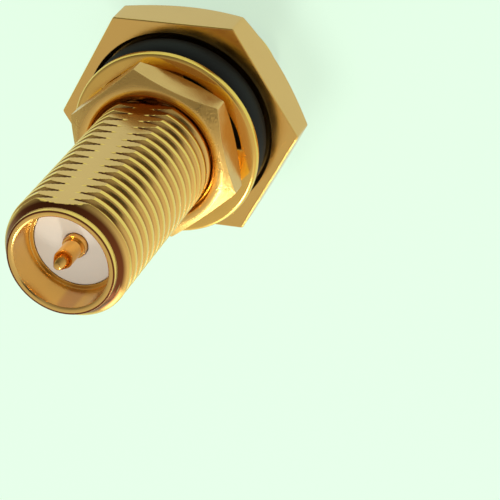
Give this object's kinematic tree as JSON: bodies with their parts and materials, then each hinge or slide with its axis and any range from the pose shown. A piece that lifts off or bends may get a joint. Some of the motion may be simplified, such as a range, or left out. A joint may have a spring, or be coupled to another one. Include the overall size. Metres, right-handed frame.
{
  "type": "coaxial bulkhead adapter",
  "caption": "Gold-plated coaxial bulkhead adapter: a threaded jack at each end of a turned body with a hexagonal flange, sealing ring, lock washer and nut.",
  "frame": {"origin": "centre of the short end's rim, on which the part stands", "axes": "+Z along the connector's axis, from the short end to the long barrel's mouth; +X is the outward normal of the barrel's milled flat"},
  "size_m": [0.0122, 0.0126, 0.023],
  "materials": {
    "gold_plate": "satin gold plating over turned brass",
    "white_insulator": "turned fluoropolymer, off-white and matte",
    "contact_gold": "polished gold plating",
    "black_rubber": "matte moulded rubber",
    "washer_gold": "satin gold plating over stamped bronze",
    "nut_gold": "satin gold plating over turned brass"
  },
  "bodies": {
    "connector": {"connector_body": "gold_plate", "short_end_insulator": "white_insulator", "long_end_insulator": "white_insulator", "centre_contact": "contact_gold", "o_ring": "black_rubber"},
    "washer_on_barrel": {"lock_washer": "washer_gold"},
    "nut_on_thread": {"hex_nut": "nut_gold"}
  },
  "joints": [
    {"name": "nut_advance", "type": "slide", "parent": "connector", "child": "washer_on_barrel", "axis": [0, 0, 1], "range_m": [0, 0.012]},
    {"name": "nut_turn", "type": "hinge", "parent": "washer_on_barrel", "child": "nut_on_thread", "pos_m": [0, 0, 0.0106], "axis": [0, 0, 1], "range_deg": [0, 6125]}
  ],
  "couplings": [
    {"joint": "nut_turn", "follows": "nut_advance", "rad_per_m": 8905.3}
  ]
}
